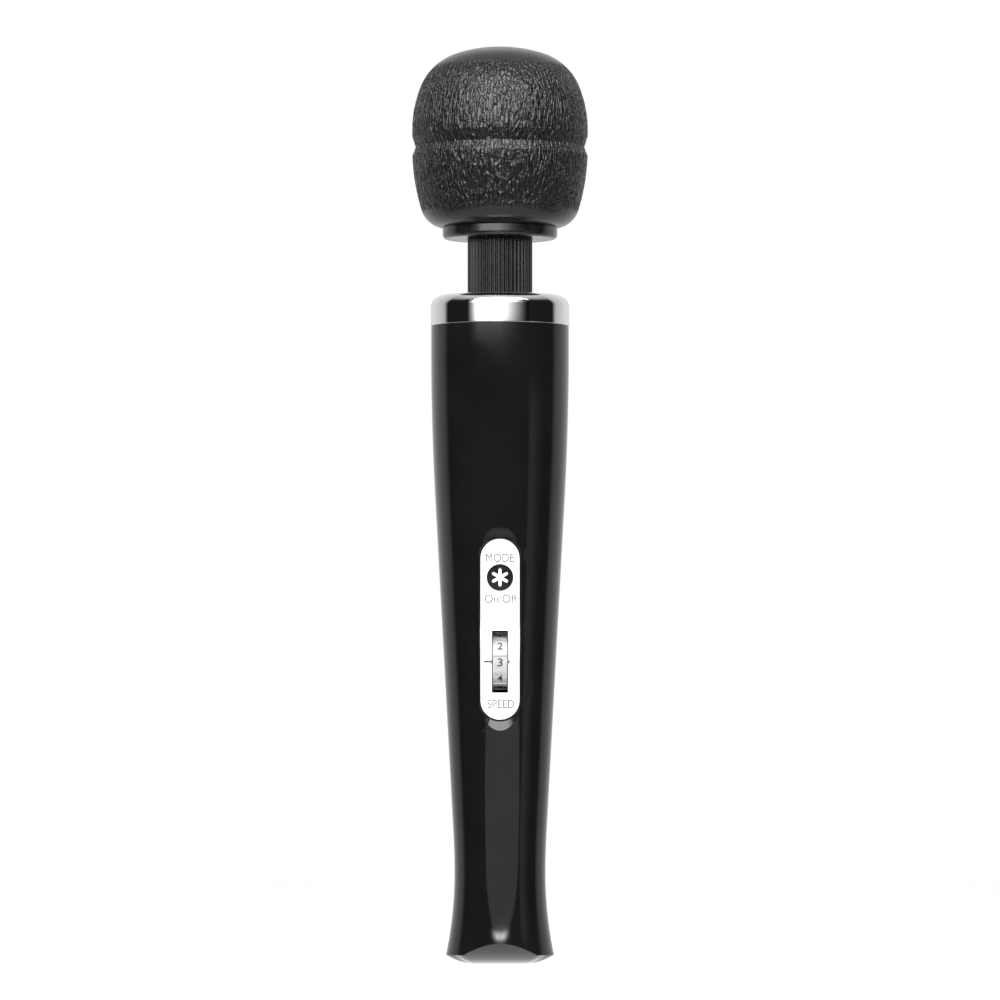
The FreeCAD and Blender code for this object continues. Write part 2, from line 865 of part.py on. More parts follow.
def side_run(inset):
    """The head's lower side at a depth under its surface, from its flat bottom up to its belly."""
    inset = size(inset)
    reach, low = size("head_r") - inset, size("head_low") + inset
    return [
        Corner(reach - 12 + inset.number, low, arc=size("head_corner_arc") - inset, plumb=True, free="x"),
        Corner(reach - 3.2, low + 6.2, arc=size("head_side_arc") - inset, smooth=True, free="xy"),
        Corner(reach, "belly", level=True),
    ]


def dome_run(inset):
    """The head's dome at a depth under its surface, from its side to its top on the axis."""
    inset = size(inset)
    reach, top = size("head_r") - inset, size("head_top") - inset
    return [
        Corner(reach, "dome_start", arc=size("dome_side_arc") - inset, level=True),
        Corner(reach - 2.9, top - 14.3, arc=size("dome_shoulder_arc") - inset, smooth=True, free="xy"),
        Corner(reach - 15.3 + inset.number * 0.7, top - 2.5, arc=size("dome_top_arc") - inset,
               smooth=True, free="xy"),
        Corner(0, top, plumb=True),
    ]


def head_cap():
    """The soft cap around the head, with a groove around its belly."""
    wall = size("cap_wall")
    outside = [Corner("cap_bore", "head_low")] + side_run(0) + dome_run(0)
    inside = backwards(side_run(wall) + dome_run(wall)) + [Corner("cap_bore", size("head_low") + wall)]
    body = turned("head_cap", outside + inside)
    mouth = size("head_r") + "groove_depth"
    middle = size("belly") + "fit_gap"
    revolve(body, [
        Corner(size("head_r") - "groove_depth", middle),
        Corner(mouth, middle - size("groove_lower") * 2),
        Corner(mouth, middle + size("groove_upper") * 2),
    ], cut=True)
    return body


def head_housing():
    """The hard shell under the cap, in a lower cup and an upper lid."""
    outer = size("cap_wall") + "half_gap"
    inner = outer + "head_wall"
    low = size("head_low")
    bore = size("top_flange_r") + size("fit_gap") * 2
    cup = [Corner(bore, low + outer)] + side_run(outer) + backwards(side_run(inner))
    turned("head_housing_lower", cup + [Corner(bore, low + inner)])
    lid = [Corner(size("head_r") - inner, "belly"), Corner(size("head_r") - outer, "belly")]
    turned("head_housing_upper", lid + dome_run(outer) + backwards(dome_run(inner)))


def head_collar():
    """The plain disc under the head, with a hub that clamps the sleeve's flange to the housing."""
    bore = size("neck_r") + size("fit_gap") * 1.5
    pocket_r = size("top_flange_r") + size("fit_gap") * 3
    flange = size("neck_top") - "top_flange" - "half_gap"
    hub_top = size("head_low") + "cap_wall"
    round_r = size("collar_round")
    return turned("head_collar", [
        Corner(bore, "collar_low"),
        Corner(size("collar_r") - round_r, "collar_low", arc=round_r),
        Corner("collar_r", size("collar_low") + round_r),
        Corner("collar_r", "collar_top"),
        Corner("hub_r", "collar_top"),
        Corner("hub_r", hub_top),
        Corner(pocket_r, hub_top),
        Corner(pocket_r, flange),
        Corner(bore, flange),
    ])


def bearing_and_bridge(end, reach, low):
    """A ball bearing of the head's shaft, and the bridge across the housing that holds it."""
    outside = size("bearing_r") + "seat_wall"
    low = size(low)
    turned("head_bridge_" + end, [
        Corner("bearing_r", low),
        Corner(reach, low),
        Corner(reach, low + "bridge_thick"),
        Corner(outside, low + "bridge_thick"),
        Corner(outside, low + "bearing_high"),
        Corner("bearing_r", low + "bearing_high"),
    ])
    tube("head_bearing_" + end, size("shaft_r") + "running_fit", "bearing_r", low, low + "bearing_high")


def eccentric_weight():
    """The half-round weight that shakes the head, on a hub with a tapped hole for its screw."""
    body = new_body("eccentric_weight")
    high = size("weight_low") + "weight_high"
    revolve(body, rectangle("shaft_r", "weight_low", "weight_r", high), 180)
    revolve(body, rectangle("shaft_r", "weight_low", "weight_hub_r", high), 360)
    middle = size("weight_low") + size("weight_high") / 2
    tapped = circle_sketch(body, "XZ_Plane", 0, middle, "weight_screw_r")
    pocket(body, tapped, FAR, back=True)
    return body


def weight_screw():
    """The set screw that locks the weight on its shaft."""
    body = tube("weight_screw", 0, "weight_screw_r", "shaft_r", "weight_hub_r")
    middle = size("weight_low") + size("weight_high") / 2
    place(body, 0, 0, middle, X_AXIS, 90)
    return body


def motor_parts():
    """The direct-current motor: can, magnets, end bell, bearing and the pieces that turn."""
    inside = size("motor_r") - "motor_wall"
    seat = size("shaft_r") * 2
    plate_low = size("motor_top") - "motor_wall"
    turned("motor_can", [
        Corner(inside, "motor_low"),
        Corner("motor_r", "motor_low"),
        Corner("motor_r", "motor_top"),
        Corner(seat, "motor_top"),
        Corner(seat, plate_low),
        Corner(inside, plate_low),
    ])
    bore = size("shaft_r") + "running_fit"
    tube("motor_bearing", bore, seat, plate_low - "motor_wall", size("motor_top") + "motor_wall")
    tube("motor_end_bell", bore, "motor_r", size("motor_low") - "bell_thick", "motor_low")
    for side, turn in (("right", -size("magnet_turn") / 2), ("left", size("magnet_turn") / -2 + 180)):
        body = new_body("motor_magnet_" + side)
        arc = rectangle("magnet_r", "magnet_low", inside - "half_gap", "magnet_top")
        revolve(body, arc, "magnet_turn")
        place(body, 0, 0, 0, Z_AXIS, turn)
    armature = tube("motor_armature", "shaft_r", "rotor_r", "rotor_low", "rotor_top")
    slot = circle_sketch(armature, "XY_Plane", "rotor_r", 0, "slot_r", "rotor_top")
    polar(armature, pocket(armature, slot, size("rotor_top") - "rotor_low"), "slot_count")
    tube("motor_commutator", "shaft_r", "commutator_r", size("motor_low") + "fit_gap", "rotor_low")
    clear = size("commutator_r") + "fit_gap"
    tube("motor_winding_lower", clear, "winding_r", size("rotor_low") - "winding_high", "rotor_low")
    tube("motor_winding_upper", "shaft_r", "winding_r", "rotor_top", size("rotor_top") + "winding_high")
    tube("motor_shaft", 0, "shaft_r", "motor_shaft_low", "motor_shaft_top")
    for end, low in (("lower", "mount_lower"), ("upper", "mount_upper")):
        reach = "mount_" + end + "_r"
        tube("motor_mount_" + end, size("motor_r") + "half_gap", reach, low, size(low) + "mount_high")


def drive_parts():
    """The flexible coupling from the motor up the neck, and the head's shaft."""
    bore = size("shaft_r") + "running_fit"
    tube("drive_coupling", bore, "coupling_r", "coupling_low", "coupling_top")
    tube("head_shaft", 0, "shaft_r", "head_shaft_low", "head_shaft_top")


def battery_parts():
    """The rechargeable cell, its end contacts and the two rings that cradle it."""
    low, long = size("cell_low"), size("cell_long")
    edge, reach = size("cell_round"), size("cell_r")
    turned("battery_cell", [
        Corner(0, low),
        Corner(reach - edge, low, arc=edge),
        Corner(reach, low + edge),
        Corner(reach, low + long - edge, arc=edge),
        Corner(reach - edge, low + long),
        Corner(0, low + long),
    ])
    for end, height in (("lower", low - "contact_thick"), ("upper", low + long)):
        tube("battery_contact_" + end, 0, reach / 2, height, height + "contact_thick")
    for end in ("lower", "upper"):
        base = size("cradle_" + end)
        tube("battery_cradle_" + end, reach + "half_gap", "cradle_" + end + "_r", base, base + "cradle_high")


def charging_socket():
    """The charging socket's body in the base, and its centre pin."""
    body = new_body("charging_socket")
    half = size("jack_side") / 2
    box = rectangle(-half, -half, half, half)
    pad(body, sketch_of(body, "XY_Plane", box, "jack_box_low"), size("jack_top") - "jack_box_low")
    nose = circle_sketch(body, "XY_Plane", 0, 0, "jack_r", "jack_lip")
    pad(body, nose, size("jack_box_low") - "jack_lip")
    bore = circle_sketch(body, "XY_Plane", 0, 0, "jack_bore", "jack_lip")
    pocket(body, bore, "jack_deep", back=True)
    place(body, 0, "jack_back", 0)
    roof = size("jack_lip") + "jack_deep"
    pin = tube("socket_pin", 0, "pin_r", size("jack_lip") + "pin_clear", roof)
    place(pin, 0, "jack_back", 0)


front_shell()
rear_shell()
rear_screws()
base_cap()
chrome_ring()
control_plate()
index_mark()
mode_button()
button_symbol()
switch_plunger()
switch_body()
control_board()
speed_wheel()
wheel_axle()
wheel_sensor()
wheel_bracket()
motor_parts()
drive_parts()
battery_parts()
charging_socket()
neck_parts()
head_collar()
head_housing()
head_cap()
bearing_and_bridge("lower", "lower_bridge_r", "lower_bearing")
bearing_and_bridge("upper", "upper_bridge_r", "upper_bearing")
eccentric_weight()
weight_screw()
doc.recompute()

for thing in doc.Objects:
    bad = {"Invalid", "Error"} & set(thing.State)
    if bad:
        raise RuntimeError(f"{thing.Label} is {bad}")

os.makedirs("parts", exist_ok=True)
for thing in doc.Objects:
    if thing.TypeId != "PartDesign::Body":
        continue
    if thing.Shape.isNull() or not thing.Shape.isValid():
        raise RuntimeError(f"{thing.Label} has no valid shape")
    thing.Shape.exportStep(f"parts/{thing.Label}.step")
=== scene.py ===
import json
import math

import bmesh
import bpy
import numpy as np
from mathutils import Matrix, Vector, noise


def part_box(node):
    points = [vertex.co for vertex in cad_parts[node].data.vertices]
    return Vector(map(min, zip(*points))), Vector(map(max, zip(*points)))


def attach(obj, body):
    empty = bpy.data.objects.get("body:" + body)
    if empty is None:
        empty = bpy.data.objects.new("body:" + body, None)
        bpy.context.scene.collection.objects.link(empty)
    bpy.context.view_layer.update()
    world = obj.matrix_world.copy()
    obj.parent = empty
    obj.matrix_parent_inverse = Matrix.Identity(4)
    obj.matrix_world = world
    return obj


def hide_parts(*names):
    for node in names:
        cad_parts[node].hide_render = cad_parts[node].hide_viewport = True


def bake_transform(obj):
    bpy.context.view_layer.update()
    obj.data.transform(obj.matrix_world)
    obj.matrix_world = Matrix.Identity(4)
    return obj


# The looks of a handheld wand massager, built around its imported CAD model.
# Lengths are in metres; MM turns the millimetres of the design into them.

MM = 0.001
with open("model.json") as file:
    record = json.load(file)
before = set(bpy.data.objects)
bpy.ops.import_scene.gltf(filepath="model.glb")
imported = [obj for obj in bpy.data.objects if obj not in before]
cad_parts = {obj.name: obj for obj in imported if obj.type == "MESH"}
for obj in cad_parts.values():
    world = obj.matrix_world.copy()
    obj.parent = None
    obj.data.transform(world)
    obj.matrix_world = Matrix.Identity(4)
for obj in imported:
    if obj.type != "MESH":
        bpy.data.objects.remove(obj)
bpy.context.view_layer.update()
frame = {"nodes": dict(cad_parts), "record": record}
nodes = frame["nodes"]

# Design sizes that the visual pieces share with the CAD model
TAPER = math.radians(3.13)
PANEL_R = 20.2 * MM
PANEL_HEIGHT = 116.65 * MM
PLATE_FACE = -1.3 * MM
WHEEL_BACK = 9.865 * MM
WHEEL_HEIGHT = 105.297 * MM
DRUM_R = 9.55 * MM


# ---------------------------------------------------------------- materials

SOCKETS = {
    "metallic": "Metallic",
    "emission_color": "Emission Color",
    "emission_strength": "Emission Strength",
    "specular_ior_level": "Specular IOR Level",
}


def wandering(name, shades, rough, scale, detail=4, stretch=(1, 1, 1), bump=0, bump_scale=0, **fixed):
    """A material whose colour and roughness wander between two values, with a fine relief.

    scale and bump_scale are in cells per metre, and bump is the relief's depth in metres.
    The other arguments are sockets of the shader that are the same all over.
    """
    material = bpy.data.materials.new(name)
    material.use_nodes = True
    tree = material.node_tree
    shader = tree.nodes["Principled BSDF"]
    place = tree.nodes.new("ShaderNodeTexCoord")
    mapping = tree.nodes.new("ShaderNodeMapping")
    mapping.inputs["Scale"].default_value = stretch
    tree.links.new(place.outputs["Object"], mapping.inputs["Vector"])

    cloud = tree.nodes.new("ShaderNodeTexNoise")
    cloud.inputs["Scale"].default_value = scale
    cloud.inputs["Detail"].default_value = detail
    tree.links.new(mapping.outputs["Vector"], cloud.inputs["Vector"])

    ramp = tree.nodes.new("ShaderNodeValToRGB")
    ramp.color_ramp.elements[0].position = 0.3
    ramp.color_ramp.elements[0].color = (*shades[0], 1)
    ramp.color_ramp.elements[1].position = 0.7
    ramp.color_ramp.elements[1].color = (*shades[1], 1)
    tree.links.new(cloud.outputs["Fac"], ramp.inputs["Fac"])
    tree.links.new(ramp.outputs["Color"], shader.inputs["Base Color"])

    spread = tree.nodes.new("ShaderNodeMapRange")
    spread.inputs["From Min"].default_value = 0.3
    spread.inputs["From Max"].default_value = 0.7
    spread.inputs["To Min"].default_value = rough[0]
    spread.inputs["To Max"].default_value = rough[1]
    tree.links.new(cloud.outputs["Fac"], spread.inputs["Value"])
    tree.links.new(spread.outputs["Result"], shader.inputs["Roughness"])

    if bump:
        relief = tree.nodes.new("ShaderNodeTexNoise")
        relief.inputs["Scale"].default_value = bump_scale
        relief.inputs["Detail"].default_value = 3
        tree.links.new(mapping.outputs["Vector"], relief.inputs["Vector"])
        raised = tree.nodes.new("ShaderNodeBump")
        raised.inputs["Distance"].default_value = bump
        tree.links.new(relief.outputs["Fac"], raised.inputs["Height"])
        tree.links.new(raised.outputs["Normal"], shader.inputs["Normal"])
    for socket, value in fixed.items():
        shader.inputs[SOCKETS[socket]].default_value = value
    return material


def grained(material):
    """The same material with fine upright wrinkles, where the mesh's grained value is not 0."""
    tree = material.node_tree
    shader = tree.nodes["Principled BSDF"]
    place = tree.nodes["Texture Coordinate"]
    tall = tree.nodes.new("ShaderNodeMapping")
    tall.inputs["Scale"].default_value = (1, 1, 0.2)
    tree.links.new(place.outputs["Object"], tall.inputs["Vector"])
    bend = tree.nodes.new("ShaderNodeTexNoise")
    bend.inputs["Scale"].default_value = 300
    tree.links.new(tall.outputs["Vector"], bend.inputs["Vector"])
    drift = tree.nodes.new("ShaderNodeVectorMath")
    drift.operation = "MULTIPLY_ADD"
    drift.inputs[1].default_value = (0.0016, 0.0016, 0.0016)
    tree.links.new(bend.outputs["Color"], drift.inputs[0])
    tree.links.new(tall.outputs["Vector"], drift.inputs[2])
    cells = tree.nodes.new("ShaderNodeTexVoronoi")
    cells.feature = "DISTANCE_TO_EDGE"
    cells.inputs["Scale"].default_value = 800
    tree.links.new(drift.outputs["Vector"], cells.inputs["Vector"])
    crease = tree.nodes.new("ShaderNodeMapRange")
    crease.interpolation_type = "SMOOTHSTEP"
    crease.inputs["From Max"].default_value = 0.22
    tree.links.new(cells.outputs["Distance"], crease.inputs["Value"])
    band = tree.nodes.new("ShaderNodeAttribute")
    band.attribute_name = "grained"
    height = tree.nodes.new("ShaderNodeMath")
    height.operation = "MULTIPLY"
    tree.links.new(crease.outputs["Result"], height.inputs[0])
    tree.links.new(band.outputs["Fac"], height.inputs[1])
    raised = tree.nodes.new("ShaderNodeBump")
    raised.inputs["Distance"].default_value = 0.00022
    tree.links.new(height.outputs[0], raised.inputs["Height"])
    tree.links.new(raised.outputs["Normal"], shader.inputs["Normal"])
    return material


def grey(level):
    """A neutral grey, very slightly cool."""
    return (level, level, level * 1.02)


def finishes():
    """One material for each material slot of the record."""
    return {
        "body_gloss": wandering(
            "gloss_black", (grey(0.004), grey(0.006)), (0.05, 0.08), 60,
            bump=0.0000012, bump_scale=420),
        "trim_chrome": wandering(
            "bright_chrome", (grey(0.82), grey(0.88)), (0.05, 0.08), 90, metallic=1,
            bump=0.000001, bump_scale=300),
        "panel_silver": wandering(
            "satin_silver", (grey(0.86), grey(0.92)), (0.34, 0.42), 900, stretch=(1, 1, 0.12),
            metallic=0.15, bump=0.000003, bump_scale=4000),
        "print_black": wandering(
            "printed_black", (grey(0.012), grey(0.03)), (0.45, 0.6), 2500, detail=2),
        "button_black": wandering(
            "button_gloss", (grey(0.005), grey(0.009)), (0.1, 0.16), 260,
            bump=0.000002, bump_scale=900),
        "symbol_white": wandering(
            "printed_white", (grey(0.78), grey(0.88)), (0.4, 0.5), 2000, detail=2),
        "wheel_silver": wandering(
            "wheel_silver", (grey(0.4), grey(0.46)), (0.3, 0.4), 700, metallic=0.05,
            bump=0.000005, bump_scale=2600),
        "soft_cap": grained(wandering(
            "grained_silicone", (grey(0.004), grey(0.008)), (0.2, 0.28), 420, detail=6,
            specular_ior_level=0.6)),
        "neck_rubber": wandering(
            "ribbed_rubber", (grey(0.003), grey(0.006)), (0.2, 0.26), 350, specular_ior_level=0.5),
        "collar_black": wandering(
            "satin_black", (grey(0.005), grey(0.009)), (0.15, 0.22), 300,
            bump=0.000004, bump_scale=2600, specular_ior_level=0.8),
        "inner_plastic": wandering(
            "natural_moulding", (grey(0.42), grey(0.52)), (0.4, 0.55), 260,
            bump=0.00001, bump_scale=1500),
        "steel": wandering(
            "turned_steel", (grey(0.48), grey(0.62)), (0.22, 0.36), 900, stretch=(1, 1, 6),
            metallic=1, bump=0.000004, bump_scale=2500),
        "copper": wandering(
            "enamelled_copper", ((0.62, 0.26, 0.11), (0.78, 0.40, 0.18)), (0.2, 0.36), 1200,
            stretch=(1, 1, 8), metallic=1, bump=0.00002, bump_scale=2400),
        "magnet": wandering(
            "ferrite", (grey(0.05), grey(0.085)), (0.5, 0.7), 900, bump=0.00001, bump_scale=3000),
        "cell_wrap": wandering(
            "cell_sleeve", ((0.02, 0.14, 0.34), (0.03, 0.19, 0.42)), (0.22, 0.34), 160,
            bump=0.000006, bump_scale=700),
        "board_green": wandering(
            "solder_mask", ((0.012, 0.13, 0.045), (0.02, 0.18, 0.06)), (0.25, 0.4), 700,
            bump=0.000008, bump_scale=2600),
        "mount_rubber": wandering(
            "mount_rubber", (grey(0.02), grey(0.04)), (0.6, 0.8), 500, bump=0.00002, bump_scale=2600),
        "socket_black": wandering(
            "moulded_black", (grey(0.014), grey(0.026)), (0.4, 0.55), 600,
            bump=0.00001, bump_scale=2600),
    }


FINISHES = finishes()


def dress_nodes():
    """Give every carried-over CAD node the material of its slot in the record."""
    for entry in frame["record"]["subparts"]:
        node = nodes[entry["node"]]
        if not node.material_slots:
            node.data.materials.append(FINISHES[entry["material_slot"]])
        for held in node.material_slots:
            held.link = "OBJECT"
            held.material = FINISHES[entry["material_slot"]]


# ---------------------------------------------------------------- mesh helpers

def shown(name, mesh, slot):
    """An object in the scene with this mesh, in the finish of one of the record's slots."""
    mesh.materials.clear()
    mesh.materials.append(FINISHES[slot])
    piece = bpy.data.objects.new(name, mesh)
    bpy.context.scene.collection.objects.link(piece)
    return piece


def new_piece(name, vertices, faces, slot):
    """A smooth-shaded object in the scene, made from its vertices and faces."""
    mesh = bpy.data.meshes.new(name)
    mesh.from_pydata(vertices, [], faces)
    mesh.validate()
    mesh.shade_smooth()
    return shown(name, mesh, slot)


def turned(outline, around):
    """Rings of vertices about the Z axis, one for each radius and height of an outline."""
    turns = [2 * math.pi * step / around for step in range(around)]
    return [
        (radius * math.cos(turn), radius * math.sin(turn), height)
        for radius, height in outline for turn in turns]


def ring_faces(rings, around, closed_top=False):
    """The faces between rings of vertices, and over the last ring if it is closed with one vertex."""
    faces = []
    for ring in range(rings - 1):
        base = ring * around
        for step in range(around):
            after = (step + 1) % around
            faces.append((base + step, base + after, base + around + after, base + around + step))
    if closed_top:
        base = (rings - 1) * around
        for step in range(around):
            faces.append((base + step, base + (step + 1) % around, rings * around))
    return faces


def crossing(first, first_reach, second, second_reach):
    """The outer of the two points at these distances from two centres."""
    apart = second - first
    along = (first_reach ** 2 - second_reach ** 2 + apart.length_squared) / (2 * apart.length)
    aside = math.sqrt(first_reach ** 2 - along ** 2)
    unit = apart.normalized()
    square = Vector((-unit.y, unit.x))
    pair = [first + unit * along + square * side * aside for side in (-1, 1)]
    return max(pair, key=lambda point: point.x)


def arc(centre, radius, start, end, step):
    """Points along an arc, in radians, without its first point."""
    count = max(2, math.ceil(abs(end - start) * radius / step))
    turns = [start + (end - start) * i / count for i in range(1, count + 1)]
    return [centre + radius * Vector((math.cos(turn), math.sin(turn))) for turn in turns]


def direction(start, end):
    """The angle of the line from one point to another, in radians."""
    return math.atan2(end.y - start.y, end.x - start.x)


def fade(low, high, value):
    """0 below low, 1 above high, and smooth between them."""
    share = min(max((value - low) / (high - low), 0), 1)
    return share * share * (3 - 2 * share)


# ---------------------------------------------------------------- glossy handle

GRIP_R = 24.15 * MM
GRIP_SHOULDER = 216.6 * MM
UPPER_ARC = 1
LOWER_ARC = 0.25
WAIST_R = 15.9 * MM
WAIST_HEIGHT = 31.6 * MM
FLARE_ARC = 137 * MM
LONGEST_EDGE = 2.2 * MM
OUTSIDE_REACH = 0.07 * MM
CREASE = math.radians(28)
SAME_WAY = 0.97


def grip_surface(height):
    """The radius of the handle at a height, and how far its surface leans out of the upright."""
    upper_end = GRIP_SHOULDER - UPPER_ARC * math.sin(TAPER)
    lower_end = WAIST_HEIGHT + LOWER_ARC * math.sin(TAPER)
    if height >= GRIP_SHOULDER:
        return GRIP_R, 0
    if height >= upper_end:
        lean = math.asin((GRIP_SHOULDER - height) / UPPER_ARC)
        return GRIP_R - UPPER_ARC * (1 - math.cos(lean)), lean
    if height >= lower_end:
        start = GRIP_R - UPPER_ARC * (1 - math.cos(TAPER))
        return start - (upper_end - height) * math.tan(TAPER), TAPER
    if height >= WAIST_HEIGHT:
        lean = math.asin((height - WAIST_HEIGHT) / LOWER_ARC)
        return WAIST_R + LOWER_ARC * (1 - math.cos(lean)), lean
    lean = -math.asin((WAIST_HEIGHT - height) / FLARE_ARC)
    return WAIST_R + FLARE_ARC * (1 - math.cos(lean)), lean


def polished(name, node, slot):
    """A finer copy of a moulded part, whose outside follows the true curve of the grip.

    The long facets are divided, the points of the outer surface are set on the curve, and the
    shading there takes the curve's own direction, so that reflections run straight and clean.
    """
    mesh = nodes[node].data.copy()
    mesh.name = name
    work = bmesh.new()
    work.from_mesh(mesh)
    bmesh.ops.remove_doubles(work, verts=work.verts, dist=1e-6)
    for _ in range(6):
        long_edges = [edge for edge in work.edges if edge.calc_length() > LONGEST_EDGE]
        if not long_edges:
            break
        bmesh.ops.subdivide_edges(work, edges=long_edges, cuts=1)
        bmesh.ops.triangulate(work, faces=[face for face in work.faces if len(face.verts) > 3])
    outer = work.verts.layers.int.new("outer")
    for vertex in work.verts:
        radius = grip_surface(vertex.co.z)[0]
        own = math.hypot(vertex.co.x, vertex.co.y)
        if abs(own - radius) < OUTSIDE_REACH:
            vertex.co.x *= radius / own
            vertex.co.y *= radius / own
            vertex[outer] = 1
    for edge in work.edges:
        edge.smooth = len(edge.link_faces) == 2 and edge.calc_face_angle(0) < CREASE
    for face in work.faces:
        face.smooth = True
    work.to_mesh(mesh)
    work.free()
    mesh.update()
    marked = [entry.value for entry in mesh.attributes["outer"].data]
    normals = [Vector(entry.vector) for entry in mesh.corner_normals]
    for face in mesh.polygons:
        for loop in face.loop_indices:
            index = mesh.loops[loop].vertex_index
            if not marked[index]:
                continue
            place = mesh.vertices[index].co
            lean = grip_surface(place.z)[1]
            level = Vector((place.x, place.y, 0)).normalized()
            true = level * math.cos(lean) - Vector((0, 0, math.sin(lean)))
            if face.normal.dot(true) > SAME_WAY:
                normals[loop] = true
    mesh.normals_split_custom_set(normals)
    mesh.attributes.remove(mesh.attributes["outer"])
    piece = shown(name, mesh, slot)
    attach(piece, "handle")
    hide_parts(node)


def bright_ring():
    """The chrome ring, turned in one piece with a soft shoulder and a fine lower edge."""
    low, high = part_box("chrome_ring")
    shell_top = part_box("handle_front_shell")[1].z
    edge, shoulder, bore, plate = 0.25 * MM, 4 * MM, 11.75 * MM, 2.6 * MM
    skirt, skirt_wall = 21.3 * MM, 0.6 * MM
    edge_step, shoulder_step = 0.08 * MM, 0.12 * MM
    # Points this far from the ends of the straight wall keep its shading flat
    support = 0.05 * MM
    outline = [
        Vector((skirt, low.z)),
        Vector((skirt + skirt_wall, low.z)),
        Vector((skirt + skirt_wall, shell_top)),
        Vector((high.x - edge, shell_top))]
    outline += arc(Vector((high.x - edge, shell_top + edge)), edge, -math.pi / 2, 0, edge_step)
    outline += [
        Vector((high.x, shell_top + edge + support)),
        Vector((high.x, high.z - shoulder - support))]
    shoulder_centre = Vector((high.x - shoulder, high.z - shoulder))
    outline += arc(shoulder_centre, shoulder, 0, math.pi / 2, shoulder_step)
    outline += [Vector((bore + edge, high.z))]
    outline += arc(Vector((bore + edge, high.z - edge)), edge, math.pi / 2, math.pi, edge_step)
    outline += [Vector((bore, high.z - plate)), Vector((skirt, high.z - plate)), Vector((skirt, low.z))]
    around = 384
    vertices = turned(outline, around)
    piece = new_piece("bright_ring", vertices, ring_faces(len(outline), around), "trim_chrome")
    piece.data.set_sharp_from_angle(angle=math.radians(30))
    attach(piece, "handle")
    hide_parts("chrome_ring")


def glossy_handle():
    """The mouldings of the handle, and the ring on top of them."""
    polished("front_moulding", "handle_front_shell", "body_gloss")
    polished("rear_moulding", "handle_rear_shell", "body_gloss")
    polished("base_moulding", "base_cap", "body_gloss")
    bright_ring()


# ---------------------------------------------------------------- soft head

CORNER_ARC = 9 * MM
SIDE_ARC = 75 * MM
BELLY = 285.6 * MM
DOME_START = 291.6 * MM
DOME_SIDE_ARC = 42 * MM
DOME_SHOULDER_ARC = 20 * MM
DOME_TOP_ARC = 50 * MM
CAP_BORE = 17.3 * MM
GROOVE_MIDDLE = 285.7 * MM
GROOVE_UPPER = 4 * MM
GROOVE_LOWER = 3.1 * MM
GROOVE_DEPTH = 1.4 * MM
GRAIN_LOW = 261.6 * MM
GRAIN_HIGH = 312.8 * MM
GRAIN_FADE = 2.5 * MM
GRAIN_DEPTH = 0.24 * MM
SKIN_UNEVEN = 0.02 * MM
HEAD_STEP = 0.3 * MM
HEAD_AROUND = 640
MOUTH_POINTS = 3


def head_outline():
    """The outline of the head from the mouth of the cap, up its side, to its top.

    Its first MOUTH_POINTS points are the mouth of the cap, which has neither grain nor groove.
    """
    low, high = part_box("head_cap")
    side = Vector((high.x - SIDE_ARC, BELLY))
    corner_height = low.z + CORNER_ARC
    across = math.sqrt((SIDE_ARC - CORNER_ARC) ** 2 - (BELLY - corner_height) ** 2)
    corner = Vector((side.x + across, corner_height))
    dome_side = Vector((high.x - DOME_SIDE_ARC, DOME_START))
    top = Vector((0, high.z - DOME_TOP_ARC))
    shoulder = crossing(
        top, DOME_TOP_ARC - DOME_SHOULDER_ARC, dome_side, DOME_SIDE_ARC - DOME_SHOULDER_ARC)
    low_join = direction(side, corner)
    side_join = direction(dome_side, shoulder)
    top_join = direction(top, shoulder)
    points = [Vector((CAP_BORE, low.z + 2 * MM)), Vector((CAP_BORE, low.z)), Vector((corner.x, low.z))]
    points += arc(corner, CORNER_ARC, -math.pi / 2, low_join, HEAD_STEP)
    points += arc(side, SIDE_ARC, low_join, 0, HEAD_STEP)
    straight = round((DOME_START - BELLY) / HEAD_STEP)
    points += [Vector((high.x, BELLY + (DOME_START - BELLY) * i / straight)) for i in range(1, straight + 1)]
    points += arc(dome_side, DOME_SIDE_ARC, 0, side_join, HEAD_STEP)
    points += arc(shoulder, DOME_SHOULDER_ARC, side_join, top_join, HEAD_STEP)
    points += arc(top, DOME_TOP_ARC, top_join, math.pi / 2 - 0.006, HEAD_STEP)
    return points, high.z


def grain(place):
    """How deep the leather-like grain is at a point of the head, from 0 to 1."""
    coarse = noise.noise(place * 110)
    drift = noise.noise_vector(place * 420) * 0.4
    tall = 0.3 - 0.1 * coarse
    cell = Vector((place.x, place.y, place.z * tall)) * 760 + drift
    near = noise.voronoi(cell)[0]
    crease = 1 - fade(0.02, 0.3, near[1] - near[0])
    streak = Vector((place.x, place.y, place.z * 0.12)) * 1000 + drift
    wrinkle = 1 - fade(0, 0.25, abs(noise.noise(streak)))
    return min(1, 0.55 * crease + 0.8 * wrinkle)


